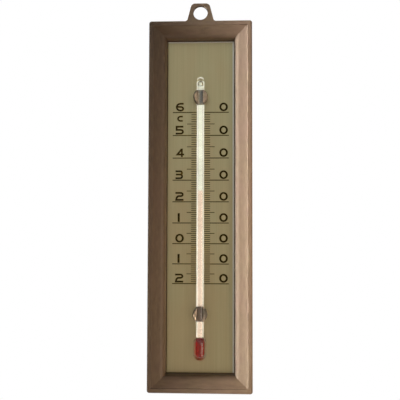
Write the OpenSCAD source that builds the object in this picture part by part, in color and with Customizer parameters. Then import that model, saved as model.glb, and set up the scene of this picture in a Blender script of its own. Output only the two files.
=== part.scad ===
// Wall thermometer: a moulded picture frame with a hanging eye, a brushed scale plate
// sunk in it, and a glass spirit tube held on the plate by two push-in studs.
// The origin is the middle of the hanging eye. +X is right, +Y into the wall, +Z up.
// Inside the modules, Y is the depth below the rim and Z is the height above the
// frame's centre. placed() moves that to the origin.

/* [Frame] */
// Width of the frame
body_w = 42; // [38:0.5:56]
// Height of the frame, without the hanging eye
body_h = 150; // [146:0.5:170]
// Depth of the frame from rim to wall
body_d = 10; // [9.5:0.25:14]
// Radius of the frame's outer corners
corner_r = 1; // [0.4:0.1:2]
// Chamfer along the front outer edge
edge_chamfer = 0.4; // [0.2:0.05:0.6]
// Width of the flat rim
rim_w = 1.85; // [1.2:0.05:2.4]
// Step down from the rim to the bevel
rim_step = 0.3; // [0.1:0.05:0.5]
// Slope of the bevel, in degrees
bevel_slope = 11; // [6:0.5:14]
// Radius of the nose between the bevel and the opening
nose_r = 2.6; // [2:0.1:2.8]
// Thickness of the moulding's walls
wall = 1.6; // [1.2:0.05:1.8]
// Thickness of the floor under the scale plate
floor_t = 1.45; // [1:0.05:1.8]

/* [Opening] */
// Width of the opening that the plate drops into
opening_w = 27.8; // [26:0.1:29]
// Height of that opening
opening_h = 136.2; // [133:0.1:137]
// Depth of the plate's face below the rim
plate_recess = 5.45; // [5.3:0.05:6]

/* [Scale plate] */
// Thickness of the plate
plate_t = 0.5; // [0.3:0.05:0.8]
// Gap round the plate's edge
plate_gap = 0.25; // [0.1:0.05:0.4]

/* [Hanging eye] */
// Diameter of the eye's hole
eye_hole_d = 5.9; // [4:0.1:6.5]
// Height of the hole's centre above the frame's top edge
eye_rise = 3.25; // [3.25:0.05:6]
// Thickness of the tab
eye_t = 2; // [1.6:0.1:3]
// Wall between the hole and the tab's top edge
eye_top_wall = 0.9; // [0.8:0.05:2]
// Width of the tab where it meets the frame
eye_base_w = 10.9; // [10.5:0.1:14]
// Lean of the tab's sides, in degrees
eye_lean = 14.7; // [8:0.1:18]
// Radius of the tab's top corners
eye_corner_r = 1.8; // [1:0.1:2.4]
// Radius of the fillets at the tab's base
eye_fillet_r = 0.7; // [0.3:0.1:1.2]

/* [Glass tube] */
// Outer diameter of the tube
tube_d = 3.2; // [2.8:0.05:3.6]
// Height of the tube's axis above the plate
tube_standoff = 2.8; // [2.75:0.05:3]
// Height of the tube's tip above the zero line
tube_top = 68.2; // [66.5:0.1:72]
// Outer diameter of the bulb
bulb_d = 5.2; // [4.6:0.05:5.3]
// Depth of the bulb's end below the zero line
bulb_bottom = 46.5; // [46:0.1:50]
// Length of the bulb, from its end to its shoulder
bulb_l = 8.8; // [8.2:0.1:10]
// Radius of the bulb's shoulder
bulb_shoulder_r = 1.8; // [1:0.05:2]
// Radius at the bulb's end
bulb_end_r = 2.3; // [1.6:0.05:2.4]
// Diameter of the cavity in the bulb
cavity_d = 2.3; // [1.8:0.05:2.4]
// Glass under the cavity
cavity_floor = 1.5; // [0.8:0.05:2]
// Length of the cavity
cavity_l = 7.4; // [6:0.1:7.6]
// Width of the flat bore that the spirit climbs in
bore_w = 1.3; // [0.8:0.05:1.35]
// Thickness of that bore, front to back
bore_t = 0.2; // [0.16:0.01:0.3]
// Diameter of the small chamber at the top of the bore
chamber_d = 1.5; // [1.4:0.05:1.7]
// Length of that chamber
chamber_l = 2.2; // [1.6:0.1:3]
// Glass above the chamber
chamber_cap = 1.9; // [1:0.1:2.2]

/* [Spirit] */
// Temperature shown, in degrees Celsius
temperature = 25; // [-15:1:55]
// Gap between spirit and glass
spirit_gap = 0.02; // [0.01:0.005:0.04]
// Depth of the curved dish in the top of the thread
meniscus_dip = 0.06; // [0.03:0.01:0.08]
// Length of the meniscus piece
meniscus_l = 0.5; // [0.3:0.05:1]

/* [Studs] */
// Diameter of a stud's head
stud_d = 5.9; // [5.2:0.1:7]
// Distance of each stud above or below the frame's centre
stud_offset = 44.2; // [43.6:0.1:45]
// Width of the mouth that the tube is pressed through
stud_mouth = 2.4; // [2:0.05:2.6]
// Height of the straight lips at the mouth
stud_lip = 0.2; // [0.1:0.05:0.3]
// Gap between stud and tube
stud_grip_gap = 0.03; // [0.01:0.01:0.1]
// Diameter of the shank
shank_d = 3; // [2.4:0.1:3.6]
// Gap round the shank in its holes
shank_gap = 0.1; // [0.05:0.05:0.2]
// Width of the slot that splits the shank
shank_slot = 0.8; // [0.6:0.05:1]
// How far the barb stands out past the shank
barb_reach = 0.35; // [0.25:0.05:0.5]
// Length of the barb
barb_l = 1.9; // [1.4:0.1:2]
// Gap between the barb and the floor
barb_gap = 0.05; // [0.03:0.01:0.1]

/* [Scale] */
// Depth of the zero line below the frame's centre
zero_drop = 15.85; // [15:0.05:17]
// Rise of the spirit for the first degree above zero
degree_rise = 0.834; // [0.8:0.001:0.85]
// Growth of that rise, in mm per degree squared
degree_growth = 0.00112; // [0.0008:0.00001:0.0014]
// Lowest mark
coldest = -20; // [-20:10:-10]
// Highest mark
hottest = 60; // [50:10:60]

/* [Print] */
// Thickness of the ink
ink_t = 0.05; // [0.03:0.01:0.08]
// Width of the white stripe behind the tube
stripe_w = 3; // [2.4:0.1:3.2]
// Distance of the stripe's upper end below the tube's tip
stripe_end = 1.3; // [1.1:0.1:3]
// Gap between the stripe and the lines
line_gap = 0.1; // [0.05:0.05:0.3]
// Gap between a ten-degree line and the plate's edge
ten_margin = 2.1; // [1.6:0.05:2.6]
// Length of a five-degree line
five_l = 4.1; // [3.4:0.05:4.9]
// Length of a one-degree line
one_l = 2.25; // [1.8:0.05:2.8]
// Thickness of a ten-degree line
ten_line_t = 0.36; // [0.2:0.01:0.45]
// Thickness of the shorter lines
line_t = 0.28; // [0.16:0.01:0.32]
// Height of the numerals
numeral_h = 3.6; // [3:0.05:3.8]
// Thickness of the numerals' strokes
numeral_stroke = 0.74; // [0.4:0.01:0.8]
// Gap between a numeral and its line
numeral_gap = 0.25; // [0.1:0.05:0.5]
// Gap between the left numerals and the plate's edge
tens_margin = 3.3; // [2.85:0.05:3.65]
// Gap between the middle of the right noughts and the plate's edge
nought_margin = 4.25; // [3.85:0.05:4.65]
// Width of a nought
nought_w = 3.55; // [3:0.05:3.7]
// Height of the letter c
letter_h = 2.45; // [2:0.05:2.8]
// Gap between the letter c and the plate's edge
letter_margin = 3.9; // [3.25:0.05:4.25]
// Depth of the letter's middle below the top line
letter_drop = 2.6; // [2.2:0.05:3]

/* [Hidden] */
$fn = 96;
ARC_STEPS = 7;
OVAL_POINTS = 36;
CUT = 1;
ORIGIN_Y = -eye_t / 2;
ORIGIN_Z = -(body_h / 2 + eye_rise);
ZERO_Z = -zero_drop;
AXIS_Y = plate_recess - tube_standoff;
INK_Y = plate_recess - ink_t;
FLOOR_Y = plate_recess + plate_t;
BACK_Y = FLOOR_Y + floor_t;
TUBE_TOP_Z = ZERO_Z + tube_top;
BULB_Z = ZERO_Z - bulb_bottom;
CAVITY_Z = BULB_Z + cavity_floor;
NECK_Z = CAVITY_Z + cavity_l;
CHAMBER_Z = TUBE_TOP_Z - chamber_cap - chamber_l;
TAB_H = eye_rise + eye_hole_d / 2 + eye_top_wall;
STUD_ZS = [stud_offset, -stud_offset];
THREAD_W = bore_w - 2 * spirit_gap;
THREAD_T = bore_t - 2 * spirit_gap;
PLATE_HALF_W = opening_w / 2 - plate_gap;
LINE_START = stripe_w / 2 + line_gap;
TEN_L = PLATE_HALF_W - ten_margin - LINE_START;
BROWN = "#6b4d38";
INK = "#2a2008";
SPIRIT_RED = "#8c1a1c";

// Height of a temperature's mark above the frame's centre. Spirit swells faster as it
// warms, so the marks lie further apart towards the top.
function mark_z(t) = ZERO_Z + t * degree_rise + t * t * degree_growth;

// Points along an elliptical arc about c, from angle a0 to angle a1
function arc(c, rx, rz, a0, a1) = [
    for (i = [0 : ARC_STEPS])
        let (a = a0 + (a1 - a0) * i / ARC_STEPS)
            [c[0] + rx * cos(a), c[1] + rz * sin(a)]
];

function unit(v) = v / norm(v);
function turned(v) = [-v[1], v[0]];

// Sideways offset of point i of a path, mitred so that the stroke keeps its width
function side(pts, i, half) =
    let (
        last = len(pts) - 1,
        a = i > 0 ? unit(pts[i] - pts[i - 1]) : unit(pts[1] - pts[0]),
        b = i < last ? unit(pts[i + 1] - pts[i]) : a,
        n = unit(turned(a) + turned(b))
    ) n * half / (n * turned(a));

module placed() {
    translate([0, ORIGIN_Y, ORIGIN_Z]) children();
}

// A pen stroke of even width along a path
module stroke(pts, w) {
    polygon(concat(
        [for (i = [0 : len(pts) - 1]) pts[i] + side(pts, i, w / 2)],
        [for (i = [len(pts) - 1 : -1 : 0]) pts[i] - side(pts, i, w / 2)]
    ));
}

// A flat outline in X and Z, raised from depth y0 to depth y1
module raised(y0, y1) {
    translate([0, y1, 0]) rotate([90, 0, 0]) linear_extrude(y1 - y0) children();
}

module block(w, h, y0, y1) {
    translate([-w / 2, y0, -h / 2]) cube([w, y1 - y0, h]);
}

// A solid whose sides follow the half sizes in steps of [depth, inset], cut from w by h
module stepped(w, h, steps) {
    function half_outline(size) = concat(
        [for (s = steps) [size / 2 - s[1], s[0]]],
        [for (i = [len(steps) - 1 : -1 : 0]) [-size / 2 + steps[i][1], steps[i][0]]]
    );
    intersection() {
        translate([0, 0, -h / 2]) linear_extrude(h) polygon(half_outline(w));
        rotate([0, -90, 0]) translate([0, 0, -w / 2]) linear_extrude(w) polygon(half_outline(h));
    }
}

module rounded_plate(w, h, r, y0, y1) {
    raised(y0, y1) {
        square([w - 2 * r, h], center = true);
        square([w, h - 2 * r], center = true);
        for (x = [-1, 1], z = [-1, 1])
            translate([x * (w / 2 - r), z * (h / 2 - r)]) circle(r);
    }
}

module frame_outside() {
    intersection() {
        rounded_plate(body_w, body_h, corner_r, 0, body_d);
        stepped(body_w, body_h, [[0, edge_chamfer], [edge_chamfer, 0], [body_d, 0]]);
    }
}

// Half of the moulding's inner outline, sunk into the material by skin: from x past the
// rim's step along the bevel, round the nose, and down beside the well to depth y.
// Lengths are given across the frame, so body and opening are both widths or heights.
function moulding(body, opening, skin, x, y) =
    let (
        rim_x = body / 2 - rim_w,
        nose = [opening / 2 + nose_r, bevel_y(rim_x, opening / 2 + nose_r) + nose_r / cos(bevel_slope)],
        r = nose_r - skin
    ) concat(
        [[x, bevel_y(rim_x, x) + skin / cos(bevel_slope)]],
        arc(nose, r, r, 270 - bevel_slope, 180),
        [[nose[0] - r, y]]
    );

// Depth of the bevel's face at x, when it starts at the rim's step at rim_x
function bevel_y(rim_x, x) = rim_step + (rim_x - x) * tan(bevel_slope);

// Half outline of the front pocket: step, bevel, nose, and the well that the plate lies in
function pocket(body, opening) =
    let (x = body / 2 - rim_w) concat([[x, -CUT]], moulding(body, opening, 0, x, FLOOR_Y));

module front_pocket() {
    intersection() {
        prism(body_h, pocket(body_w, opening_w));
        rotate([0, 90, 0]) prism(body_w, pocket(body_h, opening_h));
    }
}

// A prism along Z whose outline is half and its mirror image
module prism(along, half) {
    translate([0, 0, -along / 2]) linear_extrude(along) polygon(concat(half, mirrored(half)));
}

// The hollow behind the moulding, which leaves one wall thickness everywhere
module rear_hollow() {
    outer_w = body_w - 2 * wall;
    outer_h = body_h - 2 * wall;
    half_w = moulding(body_w, opening_w, wall, outer_w / 2, BACK_Y);
    half_h = moulding(body_h, opening_h, wall, outer_h / 2, BACK_Y);
    front = half_w[0][1];
    difference() {
        block(outer_w, outer_h, front, body_d + CUT);
        intersection() {
            prism(2 * outer_h, plug(half_w, front - CUT));
            rotate([0, 90, 0]) prism(2 * outer_w, plug(half_h, front - CUT));
        }
    }
}

// The material that stays under the moulding, widened and carried forward to depth y
function plug(half, y) = concat([[half[0][0] + CUT, y], [half[0][0] + CUT, half[0][1]]], half);

// Right half of the hanging eye's outline, from the fillet at its base to the top
function eye_half() =
    let (
        n = [cos(eye_lean), sin(eye_lean)],
        half = eye_base_w / 2,
        corner_z = TAB_H - eye_corner_r,
        corner_x = (half * n[0] - corner_z * n[1] - eye_corner_r) / n[0],
        fillet_x = half + eye_fillet_r * (1 - n[1]) / n[0]
    ) concat(
        [[fillet_x, -rim_w]],
        arc([fillet_x, eye_fillet_r], eye_fillet_r, eye_fillet_r, 270, 180 + eye_lean),
        arc([corner_x, corner_z], eye_corner_r, eye_corner_r, eye_lean, 90)
    );

function mirrored(pts) = [for (i = [len(pts) - 1 : -1 : 0]) [-pts[i][0], pts[i][1]]];

// The hanging eye stands on the frame's top edge and merges with the rim below it
module eye_outline() {
    polygon(concat(eye_half(), mirrored(eye_half())));
}

module frame() {
    color(BROWN) placed() difference() {
        union() {
            frame_outside();
            translate([0, 0, body_h / 2]) raised(0, eye_t) eye_outline();
        }
        front_pocket();
        rear_hollow();
        for (z = STUD_ZS) shank_hole(z, FLOOR_Y - CUT, BACK_Y + CUT);
        translate([0, -CUT, body_h / 2 + eye_rise]) rotate([-90, 0, 0])
            cylinder(d = eye_hole_d, h = eye_t + 2 * CUT);
    }
}

module shank_hole(z, y0, y1) {
    translate([0, y0, z]) rotate([-90, 0, 0]) cylinder(d = shank_d + 2 * shank_gap, h = y1 - y0);
}

module scale_plate() {
    color("#94875f") placed() difference() {
        block(opening_w - 2 * plate_gap, opening_h - 2 * plate_gap, plate_recess, FLOOR_Y);
        for (z = STUD_ZS) shank_hole(z, plate_recess - CUT, FLOOR_Y + CUT);
    }
}

// A stud: a round head with a snap-in groove for the tube, and a split, barbed shank
module tube_stud(z) {
    grip_r = tube_d / 2 + stud_grip_gap;
    head_y = AXIS_Y - sqrt(grip_r * grip_r - pow(stud_mouth / 2, 2)) - stud_lip;
    barb_y = BACK_Y + barb_gap;
    color(BROWN) placed() translate([0, 0, z]) difference() {
        union() {
            shaft(stud_d / 2, stud_d / 2, head_y, plate_recess);
            shaft(shank_d / 2, shank_d / 2, plate_recess, barb_y);
            shaft(shank_d / 2 + barb_reach, shank_d / 2 - barb_reach, barb_y, barb_y + barb_l);
        }
        translate([0, AXIS_Y, -stud_d]) cylinder(r = grip_r, h = 2 * stud_d);
        translate([-stud_mouth / 2, head_y - CUT, -stud_d])
            cube([stud_mouth, AXIS_Y - head_y + CUT, 2 * stud_d]);
        translate([-shank_slot / 2, FLOOR_Y, -stud_d])
            cube([shank_slot, body_d, 2 * stud_d]);
    }
}

// A round shaft along Y, tapering from radius r0 to radius r1
module shaft(r0, r1, y0, y1) {
    translate([0, y0, 0]) rotate([-90, 0, 0]) cylinder(r1 = r0, r2 = r1, h = y1 - y0);
}

module upper_tube_stud() {
    tube_stud(stud_offset);
}

module lower_tube_stud() {
    tube_stud(-stud_offset);
}

// Half outline of a round-ended bar standing on the axis
module half_bar(r, length, end_r, top_r) {
    intersection() {
        union() {
            translate([0, end_r]) square([r, length - end_r - top_r]);
            translate([r - end_r, end_r]) circle(end_r);
            translate([r - top_r, length - top_r]) circle(top_r);
            if (r > end_r) square([r - end_r, length - top_r]);
            if (r > top_r) translate([0, end_r]) square([r - top_r, length - end_r]);
        }
        square([r, length]);
    }
}

module round_bar(r, length, end_r, top_r, z0) {
    translate([0, AXIS_Y, z0]) rotate_extrude() half_bar(r, length, end_r, top_r);
}

module bore_space(clearance) {
    cavity_r = cavity_d / 2 - clearance;
    round_bar(cavity_r, cavity_l - 2 * clearance, cavity_r, cavity_r, CAVITY_Z + clearance);
}

module glass_tube() {
    bore_z = NECK_Z - cavity_d / 4;
    color("#e8efe6", 0.35) placed() difference() {
        union() {
            round_bar(bulb_d / 2, bulb_l, bulb_end_r, bulb_shoulder_r, BULB_Z);
            round_bar(tube_d / 2, TUBE_TOP_Z - NECK_Z + bulb_shoulder_r, 0.1, tube_d / 2,
                NECK_Z - bulb_shoulder_r);
        }
        bore_space(0);
        flat_bar(bore_w, bore_t, bore_z, CHAMBER_Z + chamber_d);
        round_bar(chamber_d / 2, chamber_l, chamber_d / 2, chamber_d / 2, CHAMBER_Z);
    }
}

module bulb_spirit() {
    color(SPIRIT_RED) placed() bore_space(spirit_gap);
}

// A bar of flat oval section along the tube's axis, from z0 to z1
module flat_bar(w, t, z0, z1) {
    translate([0, AXIS_Y, z0]) linear_extrude(z1 - z0) {
        square([w - t, t], center = true);
        for (s = [-1, 1]) translate([s * (w - t) / 2, 0]) circle(d = t);
    }
}

module spirit_column() {
    color(SPIRIT_RED) placed()
        flat_bar(THREAD_W, THREAD_T, NECK_Z - spirit_gap, mark_z(temperature) - meniscus_l);
}

module spirit_meniscus() {
    top = mark_z(temperature);
    dish_r = (pow(THREAD_W / 2, 2) + meniscus_dip * meniscus_dip) / (2 * meniscus_dip);
    color(SPIRIT_RED) placed() difference() {
        flat_bar(THREAD_W, THREAD_T, top - meniscus_l, top);
        translate([0, AXIS_Y, top + dish_r - meniscus_dip]) rotate([90, 0, 0])
            cylinder(r = dish_r, h = 2 * bore_t, center = true);
    }
}

// Ink on the plate's face
module ink(tint) {
    color(tint) placed() raised(INK_Y, plate_recess) children();
}

module white_stripe() {
    bottom = BULB_Z + bulb_l;
    top = TUBE_TOP_Z - stripe_end;
    ink("#f2efe4") difference() {
        translate([-stripe_w / 2, bottom]) square([stripe_w, top - bottom]);
        for (z = STUD_ZS) translate([0, z]) circle(d = stud_d + 2 * line_gap);
    }
}

// One pair of lines, left and right of the stripe, at a temperature
module line_pair(t, length, thick) {
    for (s = [-1, 1])
        translate([s * (LINE_START + length / 2), mark_z(t)]) square([length, thick], center = true);
}

module ten_degree_lines() {
    ink(INK) for (t = [coldest : 10 : hottest]) line_pair(t, TEN_L, ten_line_t);
}

module five_degree_lines() {
    ink(INK) for (t = [coldest + 5 : 10 : hottest - 5]) line_pair(t, five_l, line_t);
}

module one_degree_lines() {
    ink(INK) for (t = [coldest + 1 : hottest - 1])
        if (t % 5 != 0) line_pair(t, one_l, line_t);
}

module nought(w, h, s) {
    translate([w / 2, h / 2]) difference() {
        polygon(oval(w / 2, h / 2));
        polygon(oval(w / 2 - s * 1.15, h / 2 - s));
    }
}

function oval(rx, rz) = [
    for (i = [0 : OVAL_POINTS - 1])
        let (a = 360 * i / OVAL_POINTS)
            [rx * cos(a), rz * sin(a)]
];

// The numerals are drawn in a cell of height h, with strokes of thickness s. Each
// path runs along the middle of its stroke.
module numeral(n, h, s) {
    low = s / 2;
    top = h - s / 2;
    mid = h * 0.53;
    if (n == 0) nought(nought_w, h, s);
    if (n == 1) translate([h * 0.39 - s * 0.6, 0]) square([s * 1.2, h]);
    if (n == 2) stroke(concat(
        [[0, top]],
        arc([h * 0.61, (top + mid) / 2], h * 0.23, (top - mid) / 2, 90, -90),
        arc([h * 0.38, low], h * 0.38 - low, mid - low, 90, 172),
        [[low * 0.9, low], [h * 0.93, low]]
    ), s);
    if (n == 3) {
        stroke(concat([[0, top]], arc([h * 0.56, (top + mid) / 2], h * 0.18,
            (top - mid) / 2, 90, -90), [[h * 0.05, mid]]), s);
        stroke(concat([[h * 0.05, mid]], arc([h * 0.56, (low + mid) / 2], h * 0.2,
            (mid - low) / 2, 90, -90), [[0, low]]), s);
    }
    if (n == 4) {
        stroke([[h * 0.97, h * 0.29], [h * 0.2, h * 0.29], [h * 0.72, h * 0.93]], s);
        translate([h * 0.72 - low, 0]) square([s, h * 0.97]);
    }
    if (n == 5) stroke(concat(
        [[h * 0.88, top], [low, top], [low, mid]],
        arc([h * 0.57, (low + mid) / 2], h * 0.27, (mid - low) / 2, 90, -90),
        [[0, low]]
    ), s);
    if (n == 6) {
        stroke(concat([[h * 0.9, top]], arc([h * 0.52, h / 2], h * 0.52 - low,
            top - h / 2, 90, 270)), s);
        stroke(concat([[h * 0.5, low]], arc([h * 0.57, (low + mid) / 2], h * 0.28,
            (mid - low) / 2, -90, 90), [[h * 0.16, mid]]), s);
    }
}

module tens_numerals() {
    ink(INK) for (t = [coldest : 10 : hottest])
        translate([tens_margin - PLATE_HALF_W, mark_z(t) + ten_line_t / 2 + numeral_gap])
            numeral(abs(t) / 10, numeral_h, numeral_stroke);
}

module nought_numerals() {
    ink(INK) for (t = [coldest : 10 : hottest])
        translate([PLATE_HALF_W - nought_margin - nought_w / 2, mark_z(t) + ten_line_t / 2 + numeral_gap])
            numeral(0, numeral_h, numeral_stroke);
}

module celsius_letter() {
    s = numeral_stroke * 0.9;
    left = letter_margin - PLATE_HALF_W;
    ink(INK) translate([left, mark_z(hottest) - letter_drop - letter_h / 2]) stroke(concat(
        [[letter_h * 0.94, letter_h - s / 2]],
        arc([letter_h * 0.52, letter_h / 2], letter_h * 0.52 - s / 2, (letter_h - s) / 2, 90, 270),
        [[letter_h * 0.94, s / 2]]
    ), s);
}

frame();
scale_plate();
upper_tube_stud();
lower_tube_stud();
glass_tube();
bulb_spirit();
spirit_column();
spirit_meniscus();
white_stripe();
ten_degree_lines();
five_degree_lines();
one_degree_lines();
tens_numerals();
nought_numerals();
celsius_letter();
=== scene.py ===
"""The looks of a framed wall thermometer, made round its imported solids.

Shapes are drawn in millimetres in the row frame and become metres when they are made
objects. The origin is the middle of the hanging eye, X is right, Y into the wall, Z up.
"""

import math

import bmesh
import bpy
from mathutils import Matrix, Vector


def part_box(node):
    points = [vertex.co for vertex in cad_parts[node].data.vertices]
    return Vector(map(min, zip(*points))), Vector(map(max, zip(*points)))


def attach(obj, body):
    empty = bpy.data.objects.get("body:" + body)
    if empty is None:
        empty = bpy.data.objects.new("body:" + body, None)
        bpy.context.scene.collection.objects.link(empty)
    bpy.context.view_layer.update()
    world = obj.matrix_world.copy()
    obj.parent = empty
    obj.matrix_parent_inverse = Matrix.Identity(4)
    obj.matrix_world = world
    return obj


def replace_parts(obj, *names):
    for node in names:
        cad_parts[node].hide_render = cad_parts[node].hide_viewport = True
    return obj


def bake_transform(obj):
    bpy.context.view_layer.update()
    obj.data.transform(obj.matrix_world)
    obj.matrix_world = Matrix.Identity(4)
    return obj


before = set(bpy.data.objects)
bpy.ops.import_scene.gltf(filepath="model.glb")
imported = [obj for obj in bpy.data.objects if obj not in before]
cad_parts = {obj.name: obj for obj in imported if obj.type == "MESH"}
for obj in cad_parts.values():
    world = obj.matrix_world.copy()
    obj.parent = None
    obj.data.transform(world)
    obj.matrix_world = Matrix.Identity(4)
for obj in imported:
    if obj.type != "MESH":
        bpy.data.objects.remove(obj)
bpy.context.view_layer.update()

MM = 0.001
SCENE = bpy.context.scene


# Sizes that the solids give, in millimetres

def box_mm(node):
    """The low and high corner of a solid's box."""
    low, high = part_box(node)
    return low / MM, high / MM


FRAME_LOW, FRAME_HIGH = box_mm("frame")
PLATE_LOW, PLATE_HIGH = box_mm("scale_plate")
TUBE_LOW, TUBE_HIGH = box_mm("glass_tube")
BULB_LOW, BULB_HIGH = box_mm("bulb_spirit")
THREAD_LOW, THREAD_HIGH = box_mm("spirit_column")
TOP_LOW, TOP_HIGH = box_mm("spirit_meniscus")
STUD_LOW, STUD_HIGH = box_mm("upper_tube_stud")
LINE_LOW, LINE_HIGH = box_mm("ten_degree_lines")

# Sizes of the hanging eye
EYE_RISE = 3.25
EYE_HOLE_R = 2.95
EYE_TOP_WALL = 0.9
EYE_T = 2.0
EYE_BASE_HALF = 5.45
EYE_LEAN = 14.7
EYE_FILLET_R = 0.7
EYE_FILLET_REACH = 0.54
EYE_CORNER_R = 1.8

# Where the frame, the plate's face and the tube lie
TOP_Z = -EYE_RISE
HALF_W = FRAME_HIGH.x
HALF_H = (TOP_Z - FRAME_LOW.z) / 2
MID_Z = (TOP_Z + FRAME_LOW.z) / 2
RIM_Y = FRAME_LOW.y
PLATE_Y = PLATE_LOW.y
AXIS_Y = (TUBE_LOW.y + TUBE_HIGH.y) / 2
TUBE_R = 1.6

# The gap round each solid of spirit, how much larger than its space in the glass it is
# drawn, and how deep the thread's top is dished
SPIRIT_GAP = 0.02
WET = 0.01
MENISCUS_DIP = 0.06

# Sizes of the moulding
CORNER_R = 1.0
EDGE = 0.4
RIM_W = 1.85
RIM_STEP = 0.3
WALL = 1.6
FLOOR_T = 1.45
PLATE_GAP = 0.25
BEVEL_SLOPE = 11
NOSE_R = 2.6
WELL = HALF_W - PLATE_HIGH.x - PLATE_GAP
WELL_Z = HALF_H - (PLATE_HIGH.z - PLATE_LOW.z) / 2 - PLATE_GAP

# Sizes of the studs
STUD_ZS = [(STUD_LOW.z + STUD_HIGH.z) / 2, 2 * MID_Z - (STUD_LOW.z + STUD_HIGH.z) / 2]
STUD_R = STUD_HIGH.x
GRIP_R = TUBE_R + 0.03
MOUTH_W = 2.4
SHANK_R = 1.5
SHANK_HOLE_R = 1.6
SHANK_SLOT = 0.8
BARB_REACH = 0.35
BARB_L = 1.9

# Sizes of the glass
BULB_R = TUBE_HIGH.x
BULB_L = 8.8
BULB_END_R = 2.3
SHOULDER_R = 1.8
NECK_FILLET_R = 0.6
CAVITY_R = BULB_HIGH.x + SPIRIT_GAP
BORE_W = THREAD_HIGH.x - THREAD_LOW.x + 2 * SPIRIT_GAP
BORE_T = THREAD_HIGH.y - THREAD_LOW.y + 2 * SPIRIT_GAP
CHAMBER_R = 0.75
CHAMBER_L = 2.2
CHAMBER_CAP = 1.9

# The scale: mark t lies at ZERO_Z + t * RISE + t * t * GROWTH
COLDEST = -20
RISE = 0.834
GROWTH = 0.00112
ZERO_Z = MID_Z - 15.85
LINE_START = 1.6
TEN_L = LINE_HIGH.x - LINE_START
FIVE_L = 4.1
ONE_L = 2.25
TEN_LINE_T = 0.36
LINE_T = 0.28


# Colour and nodes

WHITE = (1, 1, 1, 1)


def linear(colour):
    """An sRGB hex colour as linear red, green, blue and full alpha."""
    parts = [int(colour[i:i + 2], 16) / 255 for i in (1, 3, 5)]
    return (*(c / 12.92 if c <= 0.04045 else ((c + 0.055) / 1.055) ** 2.4 for c in parts), 1.0)


def add(tree, kind, inputs=None, **settings):
    """Add a node; inputs gives an input a value, or the node or output that feeds it."""
    node = tree.nodes.new(kind)
    for name, value in settings.items():
        setattr(node, name, value)
    for key, value in (inputs or {}).items():
        socket = node.inputs[key] if isinstance(key, int) else next(
            s for s in node.inputs if s.enabled and s.name == key)
        if isinstance(value, bpy.types.Node):
            value = next(s for s in value.outputs if s.enabled)
        if isinstance(value, bpy.types.NodeSocket):
            tree.links.new(value, socket)
        else:
            socket.default_value = value
    return node


def principled(name, **inputs):
    """A new material of one Principled shader, as (material, tree, shader)."""
    material = bpy.data.materials.new(name)
    material.use_nodes = True
    tree = material.node_tree
    tree.nodes.clear()
    shader = add(tree, "ShaderNodeBsdfPrincipled", {k.replace("_", " "): v for k, v in inputs.items()})
    add(tree, "ShaderNodeOutputMaterial", {"Surface": shader})
    return material, tree, shader


def show_instead(tree, shader):
    """Let the material show this shader in place of its plain Principled one."""
    output = next(n for n in tree.nodes if n.type == "OUTPUT_MATERIAL")
    tree.links.new(shader.outputs[0], output.inputs["Surface"])


def cells(*size):
    """The mapping scale that makes noise cells of a size in millimetres."""
    return [1 / (s * MM) for s in size]


# Materials

def moulded_abs(name, dark, light, patch_tone, along_bars):
    """Brown ABS, injection moulded in a spark-eroded tool.

    That gives the eye a satin brown, faintly mottled where the pigment is unevenly mixed.
    Round the frame, the flow draws the mottle out a little along each bar.
    """
    material, tree, shader = principled(name, IOR=1.5)
    coords = add(tree, "ShaderNodeTexCoord").outputs["Object"]
    centred = add(tree, "ShaderNodeMapping", {"Vector": coords, "Location": (0, 0, -MID_Z * MM)})
    drawn = {}
    for way, size in (("upright", (0.9, 2, 3.5)), ("level", (3.5, 2, 0.9)), ("even", (0.9, 0.9, 0.9))):
        stretched = add(tree, "ShaderNodeMapping", {"Vector": centred, "Scale": cells(*size)})
        drawn[way] = add(tree, "ShaderNodeTexNoise", {
            "Vector": stretched, "Scale": 1.0, "Detail": 4.0, "Roughness": 0.6})
    streaks = drawn["even"]
    if along_bars:
        place = add(tree, "ShaderNodeSeparateXYZ", {0: centred})
        x = add(tree, "ShaderNodeMath", {0: place.outputs["X"]}, operation="ABSOLUTE")
        z = add(tree, "ShaderNodeMath", {0: place.outputs["Z"]}, operation="ABSOLUTE")
        past = add(tree, "ShaderNodeMath", {0: z, 1: x}, operation="SUBTRACT")
        level_bar = add(tree, "ShaderNodeMath", {0: past, 1: (HALF_H - HALF_W) * MM},
                        operation="GREATER_THAN")
        streaks = add(tree, "ShaderNodeMix", {
            "Factor": level_bar, "A": drawn["upright"], "B": drawn["level"]})
    mottle = add(tree, "ShaderNodeMapRange", {"Value": streaks, "From Min": 0.3, "From Max": 0.7})
    brown = add(tree, "ShaderNodeMix", {
        "Factor": mottle, "A": linear(dark), "B": linear(light)}, data_type="RGBA")
    wide = add(tree, "ShaderNodeMapping", {"Vector": centred, "Scale": cells(7, 7, 11)})
    patches = add(tree, "ShaderNodeTexNoise", {"Vector": wide, "Scale": 1.0, "Detail": 2.0})
    patch = add(tree, "ShaderNodeMapRange", {
        "Value": patches, "From Min": 0.35, "From Max": 0.65, "To Max": 0.45})
    reddish = add(tree, "ShaderNodeMix", {
        "Factor": patch, "A": brown, "B": linear(patch_tone)}, data_type="RGBA")
    tree.links.new(reddish.outputs[2], shader.inputs["Base Color"])
    rough = add(tree, "ShaderNodeMapRange", {
        "Value": streaks, "From Min": 0.3, "From Max": 0.7, "To Min": 0.4, "To Max": 0.5})
    tree.links.new(rough.outputs[0], shader.inputs["Roughness"])
    fine = add(tree, "ShaderNodeMapping", {"Vector": centred, "Scale": cells(0.3, 0.3, 0.3)})
    grit = add(tree, "ShaderNodeTexNoise", {"Vector": fine, "Scale": 1.0, "Detail": 2.0})
    height = add(tree, "ShaderNodeMath", {0: streaks, 1: 0.6, 2: grit}, operation="MULTIPLY_ADD")
    bump = add(tree, "ShaderNodeBump", {"Height": height, "Strength": 0.25, "Distance": 0.03 * MM})
    tree.links.new(bump.outputs[0], shader.inputs["Normal"])
    return material


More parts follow.
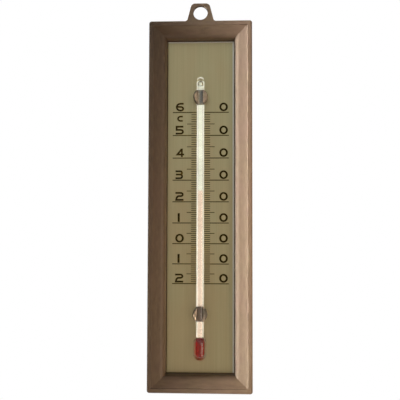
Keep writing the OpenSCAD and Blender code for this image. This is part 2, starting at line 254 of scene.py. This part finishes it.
def anodised_aluminium():
    """Champagne anodised aluminium sheet, brushed upright before it was dyed.

    That gives the eye a soft metallic sheen in fine upright lines, a little uneven in
    tone. The lines are about 0.1 mm apart, too fine to show, so they are drawn at 0.3 mm.
    The edge is painted pale along the top and the right only: partly bare metal where the
    shear took the colour off, and partly a painted highlight where the light catches them.
    """
    material, tree, shader = principled("anodised_aluminium_champagne", Metallic=1.0)
    coords = add(tree, "ShaderNodeTexCoord").outputs["Object"]
    centred = add(tree, "ShaderNodeMapping", {"Vector": coords, "Location": (0, 0, -MID_Z * MM)})
    brushed = add(tree, "ShaderNodeMapping", {"Vector": centred, "Scale": cells(0.3, 1, 40)})
    lines = add(tree, "ShaderNodeTexNoise", {
        "Vector": brushed, "Scale": 1.0, "Detail": 3.0, "Roughness": 0.65})
    wide = add(tree, "ShaderNodeMapping", {"Vector": centred, "Scale": cells(9, 9, 30)})
    cloud = add(tree, "ShaderNodeTexNoise", {"Vector": wide, "Scale": 1.0, "Detail": 2.0})
    line = add(tree, "ShaderNodeMapRange", {"Value": lines, "From Min": 0.3, "From Max": 0.7})
    tone = add(tree, "ShaderNodeMix", {
        "Factor": line, "A": linear("#BFB288"), "B": linear("#CBBE94")}, data_type="RGBA")
    clouded = add(tree, "ShaderNodeMapRange", {
        "Value": cloud, "From Min": 0.35, "From Max": 0.65, "To Max": 0.4})
    tone = add(tree, "ShaderNodeMix", {
        "Factor": clouded, "A": tone, "B": linear("#C9AC83")}, data_type="RGBA")
    place = add(tree, "ShaderNodeSeparateXYZ", {0: centred})
    side = PLATE_HIGH.x * MM
    end = (PLATE_HIGH.z - PLATE_LOW.z) / 2 * MM
    # Pale line on the top and right edges only: partly bare metal, partly a painted highlight
    from_right = add(tree, "ShaderNodeMath", {0: side, 1: place.outputs["X"]}, operation="SUBTRACT")
    from_top = add(tree, "ShaderNodeMath", {0: end, 1: place.outputs["Z"]}, operation="SUBTRACT")
    from_lit_edge = add(tree, "ShaderNodeMath", {0: from_right, 1: from_top}, operation="MINIMUM")
    lit_edge_w, lit_edge_fade = 0.3 * MM, 0.7 * MM
    bare_edge_and_highlight = add(tree, "ShaderNodeMapRange", {
        "Value": from_lit_edge, "From Min": lit_edge_w, "From Max": lit_edge_fade, "To Min": 1.0, "To Max": 0.0})
    tone = add(tree, "ShaderNodeMix", {
        "Factor": bare_edge_and_highlight, "A": tone, "B": linear("#FBF6E8")}, data_type="RGBA")
    tree.links.new(tone.outputs[2], shader.inputs["Base Color"])
    rough = add(tree, "ShaderNodeMapRange", {
        "Value": lines, "From Min": 0.3, "From Max": 0.7, "To Min": 0.38, "To Max": 0.44})
    tree.links.new(rough.outputs[0], shader.inputs["Roughness"])
    bump = add(tree, "ShaderNodeBump", {"Height": lines, "Strength": 0.1, "Distance": 0.02 * MM})
    tree.links.new(bump.outputs[0], shader.inputs["Normal"])
    return material


def clear_for_lamps(name, tint, **inputs):
    """A clear Principled shader that lets the lamps' light through, tinted."""
    material, tree, shader = principled(name, Transmission_Weight=1.0, **inputs)
    path = add(tree, "ShaderNodeLightPath")
    through = add(tree, "ShaderNodeBsdfTransparent", {"Color": tint})
    mix = add(tree, "ShaderNodeMixShader", {0: path.outputs["Is Shadow Ray"], 1: shader, 2: through})
    show_instead(tree, mix)
    return material


def screen_ink(name, dark, light, size):
    """Screen-printing ink, baked on.

    That gives the eye a matt, opaque colour whose cover varies a little with the mesh.
    """
    material, tree, shader = principled(name, Specular_IOR_Level=0.1)
    coords = add(tree, "ShaderNodeTexCoord").outputs["Object"]
    sized = add(tree, "ShaderNodeMapping", {"Vector": coords, "Scale": cells(size, size, size)})
    cover = add(tree, "ShaderNodeTexNoise", {"Vector": sized, "Scale": 1.0, "Detail": 3.0})
    share = add(tree, "ShaderNodeMapRange", {"Value": cover, "From Min": 0.35, "From Max": 0.65})
    tone = add(tree, "ShaderNodeMix", {
        "Factor": share, "A": linear(dark), "B": linear(light)}, data_type="RGBA")
    tree.links.new(tone.outputs[2], shader.inputs["Base Color"])
    rough = add(tree, "ShaderNodeMapRange", {
        "Value": cover, "From Min": 0.3, "From Max": 0.7, "To Min": 0.55, "To Max": 0.65})
    tree.links.new(rough.outputs[0], shader.inputs["Roughness"])
    bump = add(tree, "ShaderNodeBump", {"Height": cover, "Strength": 0.15, "Distance": 0.01 * MM})
    tree.links.new(bump.outputs[0], shader.inputs["Normal"])
    return material


FRAME_PLASTIC = moulded_abs("abs_moulded_brown", "#543E29", "#6A5239", "#664A37", True)
STUD_PLASTIC = moulded_abs("abs_moulded_brown_stud", "#3F3325", "#4E4232", "#4A3A2E", False)
PLATE_METAL = anodised_aluminium()
BLACK_INK = screen_ink("screen_ink_brown_black", "#201702", "#2C2108", 0.8)
WHITE_INK = screen_ink("screen_ink_white", "#EFE8D8", "#F8F2E4", 1.2)
# Soda-lime glass, drawn as capillary tube: clear and glossy, very slightly green
TUBE_GLASS = clear_for_lamps(
    "soda_lime_glass", linear("#FEFFFE"), Base_Color=linear("#FAFCF8"), Roughness=0.0, IOR=1.5)
# Alcohol dyed red, two millimetres of it in the bulb: a deep clear red
RED_SPIRIT = clear_for_lamps(
    "dyed_alcohol_red", linear("#F0B0A8"), Base_Color=linear("#FA3E36"), Roughness=0.0, IOR=1.36)
# The same alcohol in the bore, where it is so thin that only a trace of pink shows
THREAD_SPIRIT = clear_for_lamps(
    "dyed_alcohol_thread", linear("#FFF6F2"), Base_Color=linear("#FFE9E2"), Roughness=0.0, IOR=1.36)


# Meshes

ARC_STEPS = 8


def rounded(corners, steps=ARC_STEPS, closed=True):
    """Points of an outline whose corners (x, y, radius) are rounded by arcs."""
    points = []
    for i, (x, y, radius) in enumerate(corners):
        here = Vector((x, y))
        if radius == 0 or (not closed and i in (0, len(corners) - 1)):
            points.append(here)
            continue
        back = (Vector(corners[i - 1][:2]) - here).normalized()
        ahead = (Vector(corners[(i + 1) % len(corners)][:2]) - here).normalized()
        half = back.angle(ahead) / 2
        middle = here + (back + ahead).normalized() * radius / math.sin(half)
        start = here + back * radius / math.tan(half) - middle
        end = here + ahead * radius / math.tan(half) - middle
        turn = start.angle(end)
        for k in range(steps + 1):
            f = k / steps
            along = start * math.sin((1 - f) * turn) + end * math.sin(f * turn)
            points.append(middle + along / math.sin(turn))
    return points


def arc(centre, radius, start, end, steps):
    """Points from one angle to another, in degrees, about a centre."""
    return [
        (centre[0] + radius * math.cos(a), centre[1] + radius * math.sin(a))
        for a in (math.radians(start + (end - start) * k / steps) for k in range(steps + 1))]


def on_axis(points):
    """The same points with those next to the axis put on it."""
    return [(0.0 if abs(r) < 1e-6 else r, h) for r, h in points]


def capsule(r, low, high):
    """The half outline of a round-ended bar, from one pole to the other."""
    return on_axis(arc((0, low + r), r, -90, 0, 10) + arc((0, high - r), r, 0, 90, 10))


def skin(bm, rows):
    """Faces between rows of vertices; a row of one vertex is a pole."""
    count = max(len(row) for row in rows)
    for low, high in zip(rows, rows[1:]):
        for i in range(count):
            j = (i + 1) % count
            corners = [low[i % len(low)], low[j % len(low)], high[j % len(high)], high[i % len(high)]]
            bm.faces.new(dict.fromkeys(corners))


def lathe(bm, profile, along_y=False, z=0.0, segments=64):
    """Turn (radius, height) points about the tube's axis, or about a line along Y at z."""
    rows = []
    for radius, height in profile:
        row = []
        for k in range(segments if radius > 0 else 1):
            a = math.tau * k / segments
            x, y = radius * math.cos(a), radius * math.sin(a)
            row.append(bm.verts.new((x, height, z - y) if along_y else (x, AXIS_Y + y, height)))
        rows.append(row)
    skin(bm, rows)


def flat_bar(bm, width, thickness, heights):
    """A bar of flat oval section along the tube's axis, with a row at each height."""
    r = thickness / 2
    reach = width / 2 - r
    outline = arc((reach, AXIS_Y), r, -90, 90, 8) + arc((-reach, AXIS_Y), r, 90, 270, 8)
    rows = [[bm.verts.new((x, y, z)) for x, y in outline] for z in heights]
    bm.faces.new(rows[0][::-1])
    bm.faces.new(rows[-1])
    skin(bm, rows)


def prism(bm, outline, y0, y1):
    """A flat outline in X and Z, drawn out from depth y0 to depth y1."""
    front = [bm.verts.new((x, y0, z)) for x, z in outline]
    back = [bm.verts.new((x, y1, z)) for x, z in outline]
    bm.faces.new(front)
    bm.faces.new(back[::-1])
    skin(bm, [back, front])


def piece(name, bm, material=None):
    """A new object in metres from a mesh in millimetres."""
    bmesh.ops.remove_doubles(bm, verts=bm.verts, dist=0.0005)
    bmesh.ops.scale(bm, vec=(MM, MM, MM), verts=bm.verts)
    mesh = bpy.data.meshes.new(name)
    bm.to_mesh(mesh)
    bm.free()
    obj = bpy.data.objects.new(name, mesh)
    SCENE.collection.objects.link(obj)
    if material:
        mesh.materials.append(material)
    return obj


def settle(obj):
    """Turn the object's modifiers into its plain mesh."""
    bpy.context.view_layer.update()
    done = bpy.data.meshes.new_from_object(obj.evaluated_get(bpy.context.evaluated_depsgraph_get()))
    done.name = obj.name
    obj.modifiers.clear()
    obj.data = done
    return obj


def combine(obj, tool, operation):
    """Cut the tool from the object, or join it on, and use the tool up."""
    modifier = obj.modifiers.new("combine", "BOOLEAN")
    modifier.operation = operation
    modifier.solver = "EXACT"
    modifier.object = tool
    settle(obj)
    bpy.data.objects.remove(tool)
    return obj


def soften(obj, width, segments=3):
    """Round the edges that turn by more than 35 degrees; width is in millimetres."""
    bevel = obj.modifiers.new("soften", "BEVEL")
    bevel.width = width * MM
    bevel.segments = segments
    bevel.limit_method = "ANGLE"
    bevel.angle_limit = math.radians(35)
    return settle(obj)


def shade(obj, sharp=30):
    """Smooth shading that keeps flat faces flat and edges over the angle crisp."""
    obj.data.shade_smooth()
    obj.data.set_sharp_from_angle(angle=math.radians(sharp))
    weighted = obj.modifiers.new("weighted", "WEIGHTED_NORMAL")
    weighted.keep_sharp = True
    return settle(obj)


def dress(obj, body, slot, *nodes):
    """Let the piece ride on a body and stand for the nodes. The slot is not used."""
    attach(obj, body)
    if nodes:
        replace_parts(obj, *nodes)
    return obj


# The frame: one profile swept round, joined to the hanging eye

# Bars meet at about 15 degrees, and the arcs turn by less than this from face to face
MITRE_ANGLE = 13


def make_frame():
    """The moulding, from its well round the front and the back to the floor's rear face."""
    slope = math.radians(BEVEL_SLOPE)
    run = math.tan(slope)
    floor = PLATE_HIGH.y - RIM_Y
    depth = FRAME_HIGH.y - RIM_Y
    nose_in = WELL - NOSE_R
    nose = (nose_in, RIM_STEP + (nose_in - RIM_W) * run + NOSE_R / math.cos(slope))
    front = arc(nose, NOSE_R, 0, BEVEL_SLOPE - 90, 12)
    back = arc(nose, NOSE_R - WALL, BEVEL_SLOPE - 90, 0, 6)
    hollow_front = RIM_STEP + (WALL - RIM_W) * run + WALL / math.cos(slope)
    between = rounded([
        (*front[-1], 0), (RIM_W, RIM_STEP, 0.1), (RIM_W, 0, 0.12), (EDGE, 0, 0.4), (0, EDGE, 0.4),
        (0, depth, 0.25), (WALL, depth, 0.25), (WALL, hollow_front, 0.4), (*back[0], 0),
    ], closed=False)
    profile = [(WELL, floor), *front, *between[1:-1], *back, (WELL - WALL, floor + FLOOR_T)]
    end_share = (WELL_Z - RIM_W) / (WELL - RIM_W)
    bm = bmesh.new()
    rows = []
    for inset, deep in profile:
        radius = max(CORNER_R - inset, 0)
        inset_z = inset if inset < RIM_W else RIM_W + (inset - RIM_W) * end_share
        corners = [
            (sx * (HALF_W - inset), sz * (HALF_H - inset_z), radius)
            for sx, sz in ((1, -1), (1, 1), (-1, 1), (-1, -1))]
        outline = rounded(corners)
        if radius == 0:
            outline = [p for p in outline for _ in range(ARC_STEPS + 1)]
        rows.append([bm.verts.new((x, RIM_Y + deep, MID_Z + z)) for x, z in outline])
    skin(bm, [row[::-1] for row in rows])
    bm.faces.new(rows[0])
    bm.faces.new(rows[-1][::-1])
    moulding = piece("moulded_frame", bm, FRAME_PLASTIC)
    combine(moulding, make_eye(), "UNION")
    for z in STUD_ZS:
        bm = bmesh.new()
        lathe(bm, [(0, RIM_Y + floor - 1), (SHANK_HOLE_R, RIM_Y + floor - 1),
                   (SHANK_HOLE_R, RIM_Y + depth), (0, RIM_Y + depth)], along_y=True, z=z)
        combine(moulding, piece("hole", bm), "DIFFERENCE")
    return dress(shade(moulding, MITRE_ANGLE), "case", "frame_plastic", "frame")


def make_eye():
    """The hanging eye: a tab with a hole, its foot sunk in the rim."""
    height = EYE_RISE + EYE_HOLE_R + EYE_TOP_WALL
    top_half = EYE_BASE_HALF - height * math.tan(math.radians(EYE_LEAN))
    foot_half = EYE_BASE_HALF + EYE_FILLET_REACH
    foot = 1.4
    half = [(foot_half, -foot, 0), (foot_half, 0, 0), (EYE_BASE_HALF, 0, EYE_FILLET_R),
            (top_half, height, EYE_CORNER_R)]
    outline = rounded(half + [(-x, z, r) for x, z, r in half[::-1]], 10)
    bm = bmesh.new()
    prism(bm, [(x, z + TOP_Z) for x, z in outline], RIM_Y, RIM_Y + EYE_T)
    eye = piece("eye", bm)
    bm = bmesh.new()
    lathe(bm, [(0, RIM_Y - 1), (EYE_HOLE_R, RIM_Y - 1), (EYE_HOLE_R, RIM_Y + EYE_T + 1),
               (0, RIM_Y + EYE_T + 1)], along_y=True, segments=96)
    combine(eye, piece("hole", bm), "DIFFERENCE")
    return soften(eye, 0.2, 8)


# The scale plate: the solid's own mesh with a sheared, slightly rounded edge

def make_plate():
    """The plate with its two holes, and edges that are slightly rounded."""
    bm = bmesh.new()
    bm.from_mesh(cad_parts["scale_plate"].data)
    bmesh.ops.scale(bm, vec=(1 / MM, 1 / MM, 1 / MM), verts=bm.verts)
    bmesh.ops.remove_doubles(bm, verts=bm.verts, dist=0.001)
    bmesh.ops.dissolve_limit(
        bm, angle_limit=math.radians(1), verts=bm.verts, edges=bm.edges)
    plate = piece("brushed_scale_plate", bm, PLATE_METAL)
    plate.data.materials.clear()
    plate.data.materials.append(PLATE_METAL)
    soften(plate, 0.1, 2)
    return dress(shade(plate), "case", "plate_metal", "scale_plate")


# The studs: turned, grooved for the tube, split and barbed

def make_stud(name, node, z):
    """A stud at height z, in place of one solid."""
    top = STUD_LOW.y
    barb = STUD_HIGH.y - BARB_L
    profile = rounded([
        (0, top, 0), (STUD_R, top, 0.45), (STUD_R, PLATE_Y, 0.05), (SHANK_R, PLATE_Y, 0),
        (SHANK_R, barb, 0), (SHANK_R + BARB_REACH, barb, 0.05),
        (SHANK_R - BARB_REACH, STUD_HIGH.y, 0.15), (0, STUD_HIGH.y, 0),
    ], closed=False)
    bm = bmesh.new()
    lathe(bm, profile, along_y=True, z=z)
    bmesh.ops.recalc_face_normals(bm, faces=bm.faces)
    stud = piece(name, bm, STUD_PLASTIC)
    bm = bmesh.new()
    low, high = z - 2 * STUD_R, z + 2 * STUD_R
    lathe(bm, [(0, low), (GRIP_R, low), (GRIP_R, high), (0, high)])
    combine(stud, piece("groove", bm), "DIFFERENCE")
    for half_w, y0, y1 in (
            (MOUTH_W / 2, top - 1, AXIS_Y),
            (SHANK_SLOT / 2, PLATE_HIGH.y, STUD_HIGH.y + 1)):
        bm = bmesh.new()
        prism(bm, [(-half_w, low), (half_w, low), (half_w, high), (-half_w, high)], y0, y1)
        combine(stud, piece("slot", bm), "DIFFERENCE")
    soften(stud, 0.12, 2)
    return dress(shade(stud), "case", "stud_plastic", node)


# The glass tube, with its bulb, bore and end chamber

def make_tube():
    """The drawn tube with its blown bulb; the hollows are cut out one by one."""
    low, tip = TUBE_LOW.z, TUBE_HIGH.z
    shoulder = (BULB_R - SHOULDER_R, low + BULB_L - SHOULDER_R)
    fillet_x = TUBE_R + NECK_FILLET_R
    fillet_z = shoulder[1] + math.sqrt(
        (SHOULDER_R + NECK_FILLET_R) ** 2 - (fillet_x - shoulder[0]) ** 2)
    meet = math.degrees(math.atan2(fillet_z - shoulder[1], fillet_x - shoulder[0]))
    outside = (
        [(0, low)]
        + arc((BULB_R - BULB_END_R, low + BULB_END_R), BULB_END_R, -90, 0, 12)
        + arc(shoulder, SHOULDER_R, 0, meet, 8)
        + arc((fillet_x, fillet_z), NECK_FILLET_R, 180 + meet, 180, 5)
        + arc((0, tip - TUBE_R), TUBE_R, 0, 90, 12))
    bm = bmesh.new()
    lathe(bm, on_axis(outside), segments=96)
    tube = piece("glass_capillary_tube", bm, TUBE_GLASS)
    chamber_top = tip - CHAMBER_CAP
    chamber_end = chamber_top - CHAMBER_L
    neck = BULB_HIGH.z + SPIRIT_GAP
    bm = bmesh.new()
    lathe(bm, capsule(CAVITY_R, BULB_LOW.z - SPIRIT_GAP, neck))
    combine(tube, piece("cavity", bm), "DIFFERENCE")
    bm = bmesh.new()
    lathe(bm, capsule(CHAMBER_R, chamber_end, chamber_top))
    combine(tube, piece("chamber", bm), "DIFFERENCE")
    bm = bmesh.new()
    flat_bar(bm, BORE_W, BORE_T, [neck - CAVITY_R / 2, chamber_end + CHAMBER_R])
    combine(tube, piece("bore", bm), "DIFFERENCE")
    return dress(shade(tube, 40), "case", "tube_glass", "glass_tube")


# The spirit: a filling for the bulb, a thread in many rows, and its dished top.
# Each is WET larger than its space in the glass, so that light meets one surface there.

def make_bulb_filling():
    """The spirit that fills the bulb."""
    bm = bmesh.new()
    lathe(bm, capsule(CAVITY_R + WET, BULB_LOW.z - SPIRIT_GAP - WET, BULB_HIGH.z + SPIRIT_GAP + WET))
    filling = piece("bulb_filling", bm, RED_SPIRIT)
    filling.data.shade_smooth()
    return dress(filling, "case", "red_spirit", "bulb_spirit")


def make_thread():
    """The thread, its lower end sunk in the bulb's filling, in many rows along its length."""
    sunk = 0.3
    rows = 60
    low, high = THREAD_LOW.z - sunk, THREAD_HIGH.z
    heights = [low + (high - low) * k / rows for k in range(rows + 1)]
    bm = bmesh.new()
    flat_bar(bm, BORE_W + 2 * WET, BORE_T + 2 * WET, heights)
    thread = piece("spirit_thread", bm, THREAD_SPIRIT)
    shade(thread)
    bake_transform(thread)
    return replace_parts(thread, "spirit_column")


def make_thread_top():
    """The thread's top end, dished by a round tool."""
    half = BORE_W / 2
    dish = (half * half + MENISCUS_DIP * MENISCUS_DIP) / (2 * MENISCUS_DIP)
    bm = bmesh.new()
    flat_bar(bm, BORE_W + 2 * WET, BORE_T + 2 * WET, [TOP_LOW.z, TOP_HIGH.z])
    top = piece("thread_meniscus", bm, THREAD_SPIRIT)
    bm = bmesh.new()
    lathe(bm, [(0, AXIS_Y - 1), (dish, AXIS_Y - 1), (dish, AXIS_Y + 1), (0, AXIS_Y + 1)],
          along_y=True, z=TOP_HIGH.z + dish - MENISCUS_DIP, segments=128)
    combine(top, piece("dish", bm), "DIFFERENCE")
    return dress(shade(top), "spirit", "red_spirit", "spirit_meniscus")


# The scale lines, made by one tree of Geometry Nodes

def marks_tree():
    """A tree that draws pairs of printed lines at the heights of a run of degrees."""
    tree = bpy.data.node_groups.new("scale_marks", "GeometryNodeTree")
    for name, kind in (
            ("First Degree", "Int"), ("Degree Step", "Int"), ("Marks", "Int"),
            ("Leave Out Every", "Int"), ("Zero Height", "Float"), ("First Rise", "Float"),
            ("Growth", "Float"), ("Middle Depth", "Float"), ("Line Start", "Float"),
            ("Line Length", "Float"), ("Line Thickness", "Float"),
            ("Ink Thickness", "Float"), ("Ink", "Material")):
        tree.interface.new_socket(name, in_out="INPUT", socket_type="NodeSocket" + kind)
    tree.interface.new_socket("Marks", in_out="OUTPUT", socket_type="NodeSocketGeometry")
    given = add(tree, "NodeGroupInput").outputs
    index = add(tree, "GeometryNodeInputIndex")
    degree = add(tree, "ShaderNodeMath", {
        0: index, 1: given["Degree Step"], 2: given["First Degree"]}, operation="MULTIPLY_ADD")
    rise = add(tree, "ShaderNodeMath", {
        0: degree, 1: given["Growth"], 2: given["First Rise"]}, operation="MULTIPLY_ADD")
    height = add(tree, "ShaderNodeMath", {
        0: degree, 1: rise, 2: given["Zero Height"]}, operation="MULTIPLY_ADD")
    place = add(tree, "ShaderNodeCombineXYZ", {"Y": given["Middle Depth"], "Z": height})
    row = add(tree, "GeometryNodeMeshLine", {"Count": given["Marks"], "Offset": (0, 0, 0)})
    row = add(tree, "GeometryNodeSetPosition", {"Geometry": row, "Position": place})
    over = add(tree, "ShaderNodeMath", {
        0: degree, 1: given["Leave Out Every"]}, operation="FLOORED_MODULO")
    whole = add(tree, "ShaderNodeMath", {0: over, 1: 0.5}, operation="LESS_THAN")
    thinned = add(tree, "ShaderNodeMath", {
        0: given["Leave Out Every"], 1: 0.5}, operation="GREATER_THAN")
    dropped = add(tree, "ShaderNodeMath", {0: whole, 1: thinned}, operation="MULTIPLY")
    row = add(tree, "GeometryNodeDeleteGeometry", {"Geometry": row, "Selection": dropped})
    size = add(tree, "ShaderNodeCombineXYZ", {
        "X": given["Line Length"], "Y": given["Ink Thickness"], "Z": given["Line Thickness"]})
    line = add(tree, "GeometryNodeMeshCube", {"Size": size})
    out = add(tree, "ShaderNodeMath", {
        0: given["Line Length"], 1: 0.5, 2: given["Line Start"]}, operation="MULTIPLY_ADD")
    back = add(tree, "ShaderNodeMath", {0: out, 1: -1.0}, operation="MULTIPLY")
    right = add(tree, "ShaderNodeCombineXYZ", {"X": out})
    left = add(tree, "ShaderNodeCombineXYZ", {"X": back})
    pair = add(tree, "GeometryNodeJoinGeometry")
    for side in (right, left):
        moved = add(tree, "GeometryNodeTransform", {"Geometry": line, "Translation": side})
        tree.links.new(moved.outputs[0], pair.inputs[0])
    lines = add(tree, "GeometryNodeInstanceOnPoints", {"Points": row, "Instance": pair})
    lines = add(tree, "GeometryNodeRealizeInstances", {0: lines})
    lines = add(tree, "GeometryNodeSetMaterial", {"Geometry": lines, "Material": given["Ink"]})
    add(tree, "NodeGroupOutput", {0: lines})
    return tree


def make_marks(tree, name, node, first, step, marks, leave_out, length, thickness):
    """Pairs of lines from the first degree up, a step apart, but for multiples of leave_out."""
    ink_t = LINE_HIGH.y - LINE_LOW.y
    sizes = {
        "First Degree": first, "Degree Step": step, "Marks": marks, "Leave Out Every": leave_out,
        "Zero Height": ZERO_Z * MM, "First Rise": RISE * MM, "Growth": GROWTH * MM,
        "Middle Depth": (PLATE_Y - ink_t / 2) * MM, "Line Start": LINE_START * MM,
        "Line Length": length * MM, "Line Thickness": thickness * MM,
        "Ink Thickness": ink_t * MM, "Ink": BLACK_INK,
    }
    obj = bpy.data.objects.new(name, bpy.data.meshes.new(name))
    SCENE.collection.objects.link(obj)
    modifier = obj.modifiers.new("marks", "NODES")
    modifier.node_group = tree
    for item in tree.interface.items_tree:
        if item.in_out == "INPUT":
            modifier[item.identifier] = sizes[item.name]
    return dress(settle(obj), "case", "black_ink", node)


make_frame()
make_plate()
make_stud("upper_stud", "upper_tube_stud", STUD_ZS[0])
make_stud("lower_stud", "lower_tube_stud", STUD_ZS[1])
make_tube()
make_bulb_filling()
make_thread()
make_thread_top()

MARKS = marks_tree()
make_marks(MARKS, "ten_degree_marks", "ten_degree_lines", COLDEST, 10, 9, 0, TEN_L, TEN_LINE_T)
make_marks(MARKS, "five_degree_marks", "five_degree_lines", COLDEST + 5, 10, 8, 0, FIVE_L, LINE_T)
make_marks(MARKS, "one_degree_marks", "one_degree_lines", COLDEST + 1, 1, 79, 5, ONE_L, LINE_T)

for node, ink in (("tens_numerals", BLACK_INK), ("nought_numerals", BLACK_INK),
                  ("celsius_letter", BLACK_INK), ("white_stripe", WHITE_INK)):
    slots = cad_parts[node].data.materials
    slots.clear()
    slots.append(ink)


# Stage: a pale floor below, a white background, lamps and the photograph's camera

def make_floor():
    """A pale matt floor, which fades to the white background at its rim."""
    radius = 620.0
    height = -330.0
    bm = bmesh.new()
    rows = [[bm.verts.new((0, 0, height))]]
    for share in (0.5, 1.0):
        rows.append([
            bm.verts.new((radius * share * math.cos(a), radius * share * math.sin(a), height))
            for a in (math.tau * k / 96 for k in range(96))])
    skin(bm, rows[::-1])
    material, tree, shader = principled(
        "painted_board_pale", Base_Color=linear("#E9E7E2"), Roughness=0.8)
    coords = add(tree, "ShaderNodeTexCoord").outputs["Object"]
    flat = add(tree, "ShaderNodeVectorMath", {0: coords, 1: (1, 1, 0)}, operation="MULTIPLY")
    out = add(tree, "ShaderNodeVectorMath", {0: flat}, operation="LENGTH").outputs["Value"]
    fade = add(tree, "ShaderNodeMapRange", {
        "Value": out, "From Min": 0.5 * radius * MM, "From Max": 0.97 * radius * MM},
        interpolation_type="SMOOTHSTEP")
    seen = add(tree, "ShaderNodeLightPath").outputs["Is Camera Ray"]
    white = add(tree, "ShaderNodeEmission", {"Color": WHITE, "Strength": 1.0})
    share = add(tree, "ShaderNodeMath", {0: fade, 1: seen}, operation="MULTIPLY")
    mix = add(tree, "ShaderNodeMixShader", {0: share, 1: shader, 2: white})
    show_instead(tree, mix)
    floor = piece("floor", bm, material)


# Metal, glass and gloss mirror the room, which is a little cool above and warm below.
# These are its levels in front and behind, and the level that lights matt surfaces.
FRONT_LEVEL = 0.58
BACK_LEVEL = 0.3
FILL_LEVEL = 0.05
ROOM_ABOVE = linear("#F2FBFF")
ROOM_BELOW = linear("#C9B59C")

# The way to the middle of a small bright window, low at the front right, and the cosines
# of the angles from there to its faded rim and to its full light
WINDOW = Vector((0.66, -0.73, -0.17)).normalized()
WINDOW_RIM = 0.96
WINDOW_FULL = 0.985
WINDOW_LEVEL = 5.0


def make_world():
    """White to the camera, and a dim studio to the object."""
    world = bpy.data.worlds.new("studio")
    SCENE.world = world
    world.use_nodes = True
    tree = world.node_tree
    tree.nodes.clear()
    ray = add(tree, "ShaderNodeLightPath").outputs
    towards = add(tree, "ShaderNodeTexCoord").outputs["Generated"]
    way = add(tree, "ShaderNodeSeparateXYZ", {0: towards}).outputs
    room = add(tree, "ShaderNodeMapRange", {
        "Value": way["Y"], "From Min": -0.2, "From Max": 0.3, "To Min": FRONT_LEVEL, "To Max": BACK_LEVEL})
    towards_window = add(tree, "ShaderNodeVectorMath", {
        0: towards, 1: WINDOW}, operation="DOT_PRODUCT").outputs["Value"]
    window = add(tree, "ShaderNodeMapRange", {
        "Value": towards_window, "From Min": WINDOW_RIM, "From Max": WINDOW_FULL,
        "To Max": WINDOW_LEVEL})
    room = add(tree, "ShaderNodeMath", {0: room, 1: window}, operation="ADD")
    above = add(tree, "ShaderNodeMapRange", {"Value": way["Z"], "From Min": -0.25, "From Max": 0.25})
    tint = add(tree, "ShaderNodeMix", {
        "Factor": above, "A": ROOM_BELOW, "B": ROOM_ABOVE}, data_type="RGBA")
    mirrored = add(tree, "ShaderNodeMath", {
        0: ray["Is Glossy Ray"], 1: ray["Is Transmission Ray"]}, operation="MAXIMUM")
    level = add(tree, "ShaderNodeMix", {"Factor": mirrored, "A": FILL_LEVEL, "B": room})
    level = add(tree, "ShaderNodeMix", {"Factor": ray["Is Camera Ray"], "A": level, "B": 1.0})
    colour = add(tree, "ShaderNodeMix", {
        "Factor": ray["Is Camera Ray"], "A": tint.outputs[2], "B": WHITE}, data_type="RGBA")
    shown = add(tree, "ShaderNodeBackground", {"Color": colour.outputs[2], "Strength": level})
    add(tree, "ShaderNodeOutputWorld", {"Surface": shown})


def make_lamp(name, azimuth, elevation, distance, width, height, aim, spread, watts, colour):
    """A lamp that lights matt surfaces, and that metal, glass and gloss don't mirror.

    Azimuth 0 is in front and 90 at the right, and aim is (x, z) from the middle in mm.
    """
    a, e = math.radians(azimuth), math.radians(elevation)
    way = Vector((math.sin(a) * math.cos(e), -math.cos(a) * math.cos(e), math.sin(e)))
    light = bpy.data.lights.new(name, "AREA")
    light.shape = "RECTANGLE"
    light.size = width
    light.size_y = height
    light.spread = math.radians(spread)
    light.energy = watts
    light.color = linear(colour)[:3]
    lamp = bpy.data.objects.new(name, light)
    place = Vector((0, 0, MID_Z * MM)) + way * distance
    lamp.location = place
    target = Vector((aim[0], 0, MID_Z + aim[1])) * MM
    lamp.rotation_euler = (place - target).to_track_quat("Z", "Y").to_euler()
    lamp.visible_transmission = False
    lamp.visible_glossy = False
    SCENE.collection.objects.link(lamp)


make_floor()
make_world()
for lamp in (
        # Past the left bar and onto the right bevel
        ("left_strip", -85, 0, 0.6, 0.002, 0.2, (64, -8), 1.2, 0.15, "#B8D4FF"),
        # The frame from the front, more on the right than on the left
        ("front_strip", 15, 5, 0.6, 0.03, 0.2, (125, 5), 28, 0.4, "#FFFFFF"),
        # The lower bar and the bars' lower ends
        ("right_low_lamp", 40, -25, 0.5, 0.05, 0.1, (60, -60), 30, 0.07, "#FFFFFF"),
        # The white stripe behind the tube
        ("tube_strip", 25, 0, 0.5, 0.005, 0.115, (0, 0), 2, 0.012, "#FFFFFF"),
        # The floor, and the object's top, back and right side
        ("top_lamp", 180, 76, 0.9, 0.4, 0.4, (0, 0), 130, 3.8, "#FFFFFF"),
        ("back_lamp", 150, 20, 0.9, 0.4, 0.4, (0, 0), 130, 3.5, "#FFFFFF")):
    make_lamp(*lamp)

# The camera stands a little right of the middle and low, and looks slightly up
CAMERA_PLACE = (12.349, -262.781, -91.017)
CAMERA_AZIMUTH = 2.698
CAMERA_ELEVATION = -3.164
CAMERA_ROLL = 0.150
LENS = 58.86

camera = bpy.data.objects.new("camera", bpy.data.cameras.new("camera"))
SCENE.collection.objects.link(camera)
camera.data.lens = LENS
camera.data.sensor_width = 36.0
camera.data.clip_start = 0.01
camera.location = Vector(CAMERA_PLACE) * MM
camera.rotation_euler = (
    Matrix.Rotation(math.radians(CAMERA_AZIMUTH), 3, "Z")
    @ Matrix.Rotation(math.radians(90 - CAMERA_ELEVATION), 3, "X")
    @ Matrix.Rotation(math.radians(CAMERA_ROLL), 3, "Z")).to_euler()
SCENE.camera = camera
SCENE.view_settings.view_transform = "Standard"
